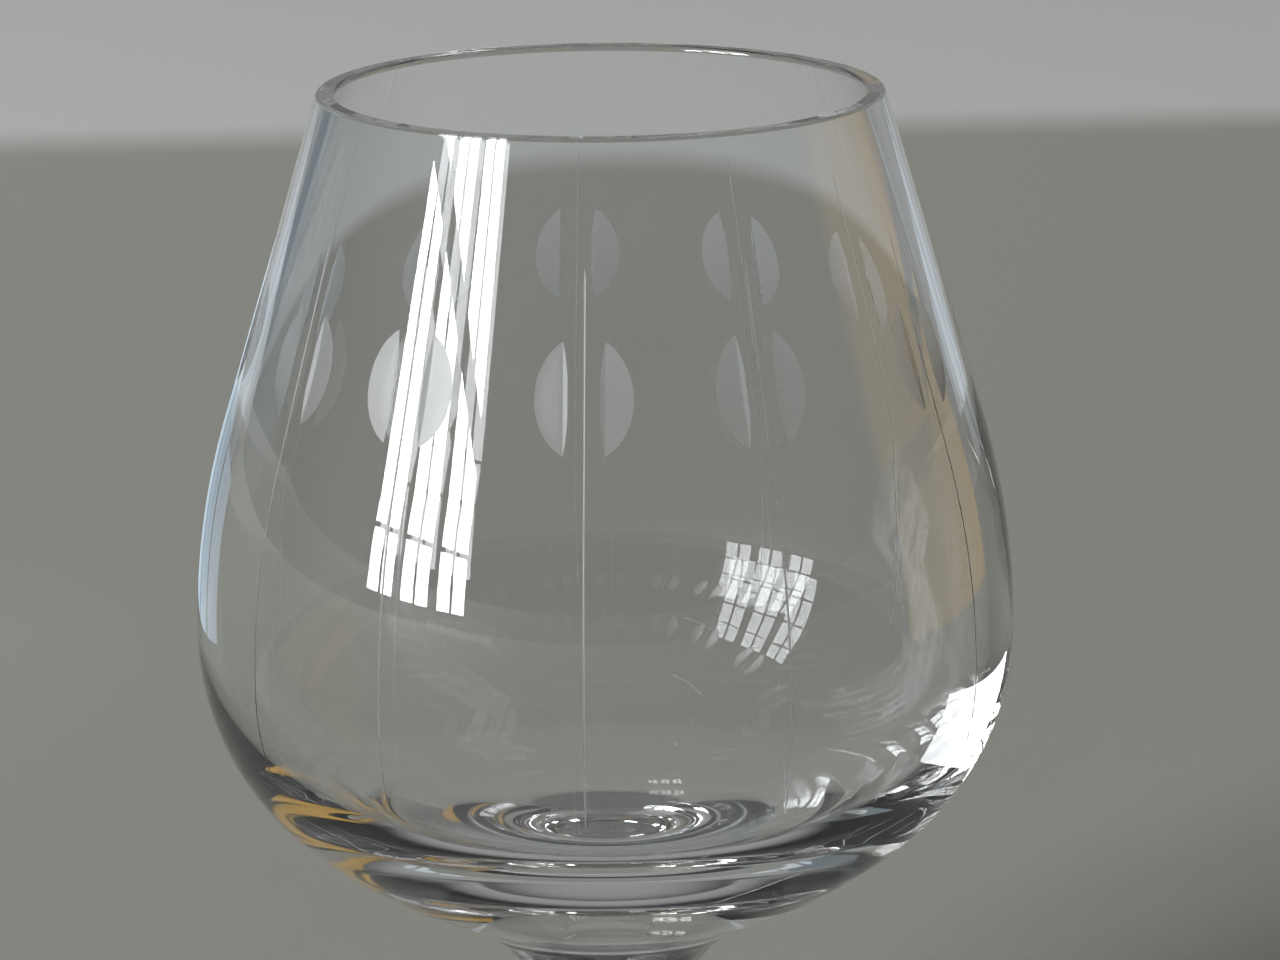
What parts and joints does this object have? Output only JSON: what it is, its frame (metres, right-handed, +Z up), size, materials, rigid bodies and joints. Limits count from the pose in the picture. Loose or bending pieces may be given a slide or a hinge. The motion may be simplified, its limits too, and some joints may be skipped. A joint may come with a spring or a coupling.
{
  "type": "cognac glass",
  "caption": "Tulip-shaped cognac glass of clear cut crystal: a deep bowl with a heavy base and matte half-moon cuts, on a short waisted stem and a round foot.",
  "frame": {"origin": "centre of the circle that the foot stands on, on the standing plane", "axes": "+Z up along the glass's axis of revolution; the first cut motif faces -Y, with the spacing of the motifs uneven as if set by hand"},
  "size_m": [0.086, 0.086, 0.1304],
  "materials": {
    "crystal": "polished"
  },
  "bodies": {
    "root": {"bowl": "crystal", "stem": "crystal", "foot": "crystal"}
  },
  "joints": []
}
